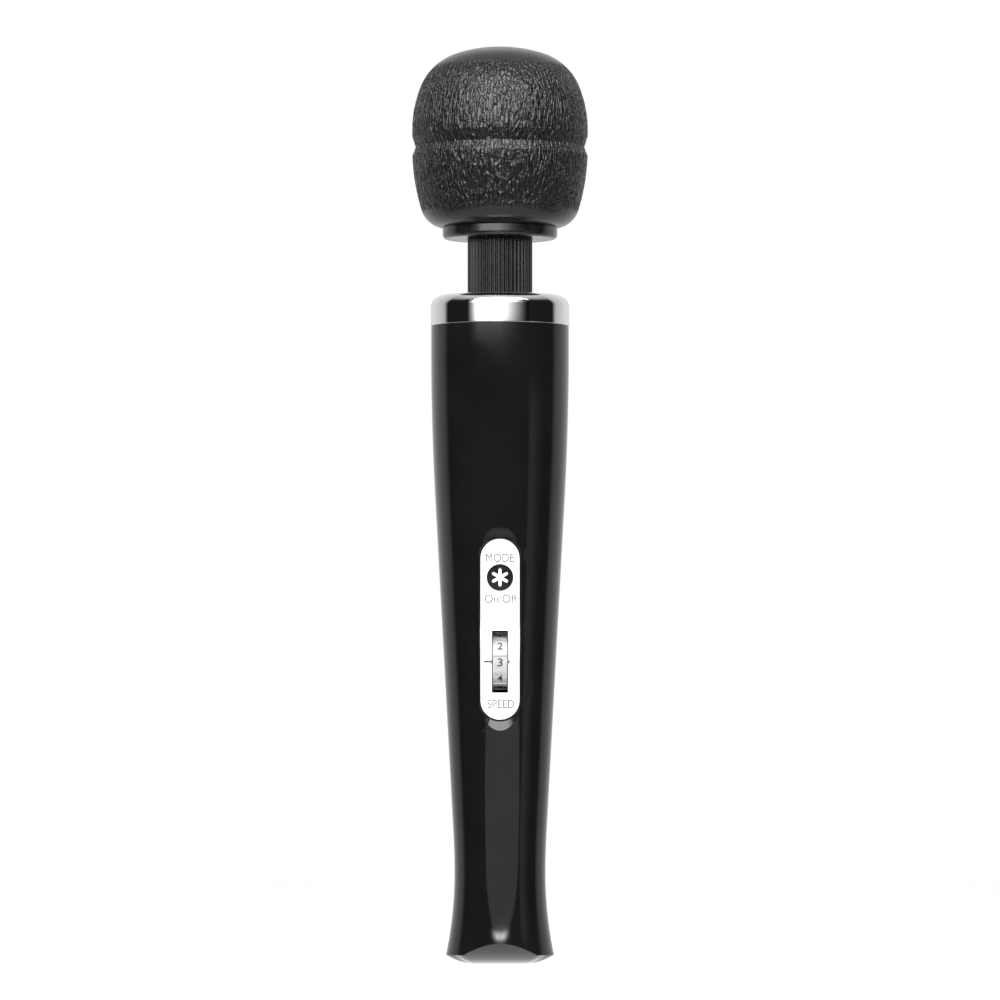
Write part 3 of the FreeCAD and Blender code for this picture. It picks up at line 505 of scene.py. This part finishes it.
def soft_head():
    """The silicone cap: smooth at the top and the bottom, with a grained band and a groove between."""
    outline, summit = head_outline()
    vertices = []
    grained_share = []
    for index, point in enumerate(outline):
        before = outline[max(index - 1, 0)]
        after = outline[min(index + 1, len(outline) - 1)]
        run = (after - before).normalized()
        out = Vector((run.y, -run.x))
        reach = GROOVE_UPPER if point.y > GROOVE_MIDDLE else GROOVE_LOWER
        share = max(0, 1 - abs(point.y - GROOVE_MIDDLE) / reach)
        groove = GROOVE_DEPTH * (share - 0.12 * share * share)
        band = fade(GRAIN_LOW, GRAIN_LOW + GRAIN_FADE, point.y)
        band *= 1 - fade(GRAIN_HIGH, GRAIN_HIGH + GRAIN_FADE, point.y)
        if index < MOUTH_POINTS:
            groove = band = 0
        grained_share += [band] * HEAD_AROUND
        for step in range(HEAD_AROUND):
            turn = 2 * math.pi * step / HEAD_AROUND
            radius = point.x - groove
            place = Vector((radius * math.cos(turn), radius * math.sin(turn), point.y))
            sink = GRAIN_DEPTH * band * grain(place) if band else 0
            sink += SKIN_UNEVEN * (0.5 + 0.5 * noise.noise(place * 240))
            radius -= sink * out.x
            vertices.append((radius * math.cos(turn), radius * math.sin(turn), point.y - sink * out.y))
    vertices.append((0, 0, summit - 0.01 * MM))
    grained_share.append(0)
    faces = ring_faces(len(outline), HEAD_AROUND, closed_top=True)
    piece = new_piece("soft_head_skin", vertices, faces, "soft_cap")
    held = piece.data.attributes.new("grained", "FLOAT", "POINT")
    held.data.foreach_set("value", grained_share)
    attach(piece, "head")
    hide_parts("head_cap")


# ---------------------------------------------------------------- ribbed neck

RIB_COUNT = 45
RIB_DEPTH = 0.55 * MM
POINTS_PER_RIB = 10
NECK_R = 11.35 * MM
NECK_BORE = 8 * MM
LOWER_FLANGE = 3 * MM
UPPER_FLANGE = 2.8 * MM
NECK_SLICES = 18
NECK_MIDDLE = 243.6 * MM
NECK_SHARP = math.radians(60)
COUPLING_R = 4.2 * MM
COUPLING_BORE = 1.7 * MM
COUPLING_SLICES = 14
COUPLING_AROUND = 48


def neck_length(name, node, flanged_top):
    """One length of the ribbed rubber sleeve, with its hidden flange."""
    low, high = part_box(node)
    levels = [low.z + (high.z - low.z) * i / NECK_SLICES for i in range(NECK_SLICES + 1)]
    around = RIB_COUNT * POINTS_PER_RIB
    # Each entry is a radius, a height, and 1 where the ring of vertices is ribbed
    ribs = [(NECK_R, level, 1) for level in levels]
    if flanged_top:
        seat = high.z - UPPER_FLANGE
        outline = [entry for entry in ribs if entry[1] < seat]
        outline += [(NECK_R, seat, 1), (high.x, seat, 0), (high.x, high.z, 0), (NECK_BORE, high.z, 0)]
    else:
        seat = low.z + LOWER_FLANGE
        outline = [(NECK_BORE, low.z, 0), (high.x, low.z, 0), (high.x, seat, 0), (NECK_R, seat, 1)]
        outline += [entry for entry in ribs if entry[1] > seat]
    vertices = []
    for radius, level, ribbed in outline:
        for step in range(around):
            turn = 2 * math.pi * step / around
            wave = 0.5 - 0.5 * math.cos(RIB_COUNT * turn)
            own = radius - ribbed * RIB_DEPTH * (1 - fade(0.1, 0.75, wave))
            vertices.append((own * math.cos(turn), own * math.sin(turn), level))
    piece = new_piece(name, vertices, ring_faces(len(outline), around), "neck_rubber")
    piece.data.set_sharp_from_angle(angle=NECK_SHARP)
    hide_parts(node)
    return piece


def ribbed_neck():
    """Both lengths of the sleeve, which meet between the hinges."""
    lower = neck_length("neck_ribs_lower", "neck_sleeve_lower", flanged_top=False)
    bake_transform(lower)
    upper = neck_length("neck_ribs_upper", "neck_sleeve_upper", flanged_top=True)
    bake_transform(upper)


def coupling_length(name, low, high):
    """One length of the flexible coupling, a plain rubber tube up the middle of the neck."""
    levels = [low + (high - low) * i / COUPLING_SLICES for i in range(COUPLING_SLICES + 1)]
    outline = [(COUPLING_R, level) for level in levels]
    outline += [(COUPLING_BORE, level) for level in reversed(levels)]
    outline.append(outline[0])
    vertices = turned(outline, COUPLING_AROUND)
    piece = new_piece(name, vertices, ring_faces(len(outline), COUPLING_AROUND), "mount_rubber")
    piece.data.set_sharp_from_angle(angle=NECK_SHARP)
    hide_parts("drive_coupling")
    return piece


def bending_coupling():
    """The coupling, in two lengths that meet between the neck's hinges."""
    low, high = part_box("drive_coupling")
    lower = coupling_length("coupling_lower", low.z, NECK_MIDDLE)
    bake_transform(lower)
    upper = coupling_length("coupling_upper", NECK_MIDDLE, high.z)
    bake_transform(upper)


# ---------------------------------------------------------------- printing

MARK_THICK = 0.05 * MM
LABEL_LIFT = 0.02 * MM
DIGIT_LIFT = 0.015 * MM
THIN_STROKES = -0.005
BOLD_STROKES = 0.008
CUTS = 10

# Each word's name, its text, its width and height, and its place aside of and above the panel's middle
WORDS = (
    ("label_mode", "MODE", 9.8 * MM, 2.9 * MM, 0, 24.2 * MM),
    ("label_power", "On/Off", 11.2 * MM, 2.9 * MM, 0.3 * MM, 10.0 * MM),
    ("label_speed", "SPEED", 9.3 * MM, 2.8 * MM, 0.3 * MM, -26.6 * MM))

DIGIT_WIDE = 1.85 * MM
ONE_WIDE = 0.4 * MM
DIGIT_HIGH = 2.8 * MM
DIGIT_IN_FRONT = 3

# Degrees round the wheel: from each number to the next, and from the dash down to the number in front
DIGIT_PITCH = 36
DIGIT_DROP = 4.5


def glyphs(name, text, wide, high, weight):
    """The mesh of a word, wide and high as asked, lying in the XY plane about its own centre.

    weight thickens its strokes, as a share of the size of the font. The mesh is cut across
    CUTS - 1 times, so that it can follow a curved surface.
    """
    curve = bpy.data.curves.new(name, "FONT")
    curve.body = text
    curve.extrude = 0.02
    curve.offset = weight
    curve.resolution_u = 8
    source = bpy.data.objects.new(name + "_source", curve)
    bpy.context.scene.collection.objects.link(source)
    bpy.context.view_layer.update()
    mesh = bpy.data.meshes.new_from_object(source)
    bpy.data.objects.remove(source)
    bpy.data.curves.remove(curve)
    work = bmesh.new()
    work.from_mesh(mesh)
    bmesh.ops.remove_doubles(work, verts=work.verts, dist=1e-5)
    spans = []
    for axis, length in ((0, wide), (1, high), (2, MARK_THICK)):
        values = [vertex.co[axis] for vertex in work.verts]
        spans.append((min(values), max(values), length))
    for vertex in work.verts:
        vertex.co = Vector([
            ((vertex.co[axis] - low) / (top - low) - 0.5) * length
            for axis, (low, top, length) in enumerate(spans)])
    for cut in range(1, CUTS):
        level = (cut / CUTS - 0.5) * high
        bmesh.ops.bisect_plane(
            work, geom=work.verts[:] + work.edges[:] + work.faces[:],
            plane_co=(0, level, 0), plane_no=(0, 1, 0))
    work.to_mesh(mesh)
    work.free()
    return mesh


def printed(name, mesh, shape, body, slot):
    """A printed mark: each point of the flat mesh is carried to its place by shape."""
    for vertex in mesh.vertices:
        vertex.co = shape(*vertex.co)
    piece = shown(name, mesh, slot)
    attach(piece, body)


def on_panel(aside, height):
    """A function that carries a flat point onto the plate, at these distances from its middle."""
    def shape(across, up, out):
        up, out = height + up, PLATE_FACE + LABEL_LIFT + out
        return Vector((
            aside + across,
            -PANEL_R - up * math.sin(TAPER) - out * math.cos(TAPER),
            PANEL_HEIGHT + up * math.cos(TAPER) - out * math.sin(TAPER)))
    return shape


def on_drum(turn):
    """A function that carries a flat point onto the wheel's drum, at this angle above its front."""
    def shape(across, up, out):
        angle = turn + up / DRUM_R
        radius = DRUM_R + DIGIT_LIFT + out
        return Vector((
            across, -WHEEL_BACK - radius * math.cos(angle), WHEEL_HEIGHT + radius * math.sin(angle)))
    return shape


def printing():
    """The generic words of the panel, and the numbers round the wheel."""
    for name, text, wide, high, aside, height in WORDS:
        mesh = glyphs(name, text, wide, high, THIN_STROKES)
        printed(name, mesh, on_panel(aside, height), "handle", "print_black")
    for digit in range(1, 9):
        turn = math.radians(DIGIT_PITCH * (DIGIT_IN_FRONT - digit) - DIGIT_DROP)
        wide = ONE_WIDE if digit == 1 else DIGIT_WIDE
        name = f"wheel_number_{digit}"
        mesh = glyphs(name, str(digit), wide, DIGIT_HIGH, BOLD_STROKES)
        printed(name, mesh, on_drum(turn), "speed_wheel", "print_black")


# ---------------------------------------------------------------- studio

DARK = 0.012
FLOOR_REACH = 6
ABOVE_FLOOR = 0.3 * MM
TONGUE_LOW = 2 * MM
VIEW_HIGH = 0.35
SENSOR = 36


def card(name, corners_of, strengths, level):
    """A glowing sheet that lights the object and shows in its reflections, but not to the camera."""
    rows, columns = strengths.shape
    vertices = [
        corners_of(column / (columns - 1), row / (rows - 1))
        for row in range(rows) for column in range(columns)]
    starts = [row * columns + column for row in range(rows - 1) for column in range(columns - 1)]
    faces = [(start, start + 1, start + columns + 1, start + columns) for start in starts]
    mesh = bpy.data.meshes.new(name)
    mesh.from_pydata(vertices, [], faces)
    glow = mesh.attributes.new("glow", "FLOAT", "POINT")
    glow.data.foreach_set("value", strengths.astype(np.float32).ravel())
    material = bpy.data.materials.new(name)
    material.use_nodes = True
    tree = material.node_tree
    tree.nodes.clear()
    read = tree.nodes.new("ShaderNodeAttribute")
    read.attribute_name = "glow"
    gain = tree.nodes.new("ShaderNodeMath")
    gain.operation = "MULTIPLY"
    gain.inputs[1].default_value = level
    light = tree.nodes.new("ShaderNodeEmission")
    end = tree.nodes.new("ShaderNodeOutputMaterial")
    tree.links.new(read.outputs["Fac"], gain.inputs[0])
    tree.links.new(gain.outputs[0], light.inputs["Strength"])
    tree.links.new(light.outputs[0], end.inputs["Surface"])
    mesh.materials.append(material)
    sheet = bpy.data.objects.new(name, mesh)
    sheet.visible_camera = False
    sheet.visible_shadow = False
    bpy.context.scene.collection.objects.link(sheet)


def curved(radius, left, right, low, high):
    """Corners of a sheet bent round the object, between two angles from the front, in degrees."""
    def at(across, up):
        turn = math.radians(left + (right - left) * across)
        return (radius * math.sin(turn), -radius * math.cos(turn), low + (high - low) * up)
    return at


def flat(distance, left, right, low, high):
    """Corners of a flat sheet in front of the object."""
    def at(across, up):
        return (left + (right - left) * across, -distance, low + (high - low) * up)
    return at


def tongue(distance, left, right, high):
    """Corners of a flat sheet in front of the object that narrows upwards to a rounded end."""
    def at(across, up):
        share = math.sqrt(1 - up * up)
        return ((left + (right - left) * across) * share, -distance, TONGUE_LOW + high * up)
    return at


def overhead(distance, height, half_wide, half_deep):
    """Corners of a sheet above and in front of the object, tilted down to its head."""
    aside, tilt = -0.04, 0.7
    def at(across, up):
        reach = (2 * up - 1) * half_deep * tilt
        return ((2 * across - 1) * half_wide + aside, -distance + reach, height + reach)
    return at


def underfoot(half_wide, front, back):
    """Corners of a sheet lying just above the floor, under the rolled front of the base."""
    def at(across, up):
        return ((2 * across - 1) * half_wide, front + (back - front) * up, ABOVE_FLOOR)
    return at


def soft_edges(columns, rows, left, right, low, high):
    """Strengths that rise from 0 at the edges of a sheet to 1 within these shares of its size."""
    table = np.zeros((rows, columns))
    for row in range(rows):
        for column in range(columns):
            across, up = column / (columns - 1), row / (rows - 1)
            side = min(across / left, 1) ** 2 * min((1 - across) / right, 1) ** 2
            table[row, column] = side * fade(0, low, up) * fade(0, high, 1 - up)
    return table


def brighter_above(table, start, end, gain):
    """The same strengths, multiplied by gain above the end of a span of the sheet's height."""
    for row in range(len(table)):
        table[row] *= 1 + (gain - 1) * fade(start, end, row / (len(table) - 1))
    return table


def cards():
    """The glowing sheets round the object, whose reflections run down the handle and the ring."""
    key = brighter_above(soft_edges(61, 61, 0.19, 0.46, 0.012, 0.3), 0.06, 0.25, 3)
    card("key_softbox", curved(0.7, -56, 48, 0.262, 0.9), key, 2.2)
    top = soft_edges(41, 31, 0.35, 0.25, 0.3, 0.3)
    card("top_softbox", overhead(0.5, 0.78, 0.8, 0.2), top, 7.5)
    card("low_reflector", tongue(0.276, -0.2, 0.29, 0.09), np.ones((25, 2)), 0.62)
    glint = soft_edges(21, 21, 0.35, 0.35, 0.3, 0.3)
    card("low_glint", flat(0.276, -0.12, 0.13, 0.087, 0.098), glint, 16)
    card("foot_glow", underfoot(0.025, -0.03, -0.006), np.ones((2, 2)), 1.9)
    side = soft_edges(31, 21, 0.08, 0.7, 0.001, 0.1)
    card("side_strip", curved(0.7, 48, 84, -0.3, 0.24), side, 0.3)


def floor():
    """A wide pale floor, which doesn't show in reflections."""
    material = wandering(
        "pale_floor", (grey(0.4), grey(0.42)), (0.8, 0.9), 3, specular_ior_level=0,
        emission_color=(1, 1, 1, 1), emission_strength=0.79)
    corners = [(x * FLOOR_REACH, y * FLOOR_REACH, 0) for x, y in ((-1, -1), (1, -1), (1, 1), (-1, 1))]
    mesh = bpy.data.meshes.new("floor")
    mesh.from_pydata(corners, [], [(0, 1, 2, 3)])
    mesh.materials.append(material)
    plane = bpy.data.objects.new("floor", mesh)
    plane.visible_glossy = False
    bpy.context.scene.collection.objects.link(plane)


def fill_light():
    """A large soft light from the front, for the matt surfaces only."""
    data = bpy.data.lights.new("front_fill", "AREA")
    data.shape = "RECTANGLE"
    data.size = 1.6
    data.size_y = 1.6
    data.energy = 30
    light = bpy.data.objects.new("front_fill", data)
    light.location = (0.3, -2.3, 1.1)
    light.rotation_euler = (Vector((0, 0, 0.16)) - light.location).to_track_quat("-Z", "Y").to_euler()
    light.visible_glossy = False
    light.visible_camera = False
    bpy.context.scene.collection.objects.link(light)


def backdrop():
    """White to the camera. To everything else, light behind, above and below, and dark in front."""
    world = bpy.data.worlds.new("studio")
    bpy.context.scene.world = world
    world.use_nodes = True
    tree = world.node_tree
    tree.nodes.clear()
    place = tree.nodes.new("ShaderNodeTexCoord")
    parts = tree.nodes.new("ShaderNodeSeparateXYZ")
    tree.links.new(place.outputs["Generated"], parts.inputs["Vector"])
    downward = tree.nodes.new("ShaderNodeMath")
    downward.operation = "MULTIPLY"
    downward.inputs[1].default_value = -1
    tree.links.new(parts.outputs["Z"], downward.inputs[0])
    sides = (
        (parts.outputs["Y"], ((0.14, DARK), (0.3, 0.52), (0.8, 0.8))),
        (parts.outputs["Z"], ((0.5, DARK), (0.9, 0.7))),
        (downward.outputs[0], ((0.55, DARK), (0.78, 0.65))))
    brightest = None
    for source, stops in sides:
        ramp = tree.nodes.new("ShaderNodeValToRGB")
        while len(ramp.color_ramp.elements) < len(stops):
            ramp.color_ramp.elements.new(0.5)
        for element, (position, level) in zip(ramp.color_ramp.elements, stops):
            element.position = position
            element.color = (level, level, level, 1)
        tree.links.new(source, ramp.inputs["Fac"])
        if brightest is None:
            brightest = ramp.outputs["Color"]
            continue
        either = tree.nodes.new("ShaderNodeMath")
        either.operation = "MAXIMUM"
        tree.links.new(brightest, either.inputs[0])
        tree.links.new(ramp.outputs["Color"], either.inputs[1])
        brightest = either.outputs[0]
    seen = tree.nodes.new("ShaderNodeLightPath")
    pick = tree.nodes.new("ShaderNodeMix")
    pick.inputs["B"].default_value = 1
    tree.links.new(seen.outputs["Is Camera Ray"], pick.inputs["Factor"])
    tree.links.new(brightest, pick.inputs["A"])
    light = tree.nodes.new("ShaderNodeBackground")
    light.inputs["Color"].default_value = (1, 1, 1, 1)
    tree.links.new(pick.outputs["Result"], light.inputs["Strength"])
    end = tree.nodes.new("ShaderNodeOutputWorld")
    tree.links.new(light.outputs[0], end.inputs["Surface"])


def camera():
    """Low and far away, looking slightly up the handle."""
    data = bpy.data.cameras.new("camera")
    view = bpy.data.objects.new("camera", data)
    bpy.context.scene.collection.objects.link(view)
    view.location = (0, -2.6, 0.04)
    aim = Vector((0, 0, 0.1619))
    away = aim - view.location
    view.rotation_euler = away.to_track_quat("-Z", "Y").to_euler()
    data.sensor_width = SENSOR
    data.lens = SENSOR * away.length / VIEW_HIGH
    bpy.context.scene.camera = view


dress_nodes()
glossy_handle()
soft_head()
ribbed_neck()
bending_coupling()
printing()
cards()
floor()
fill_light()
backdrop()
camera()
bpy.context.scene.view_settings.view_transform = "Standard"
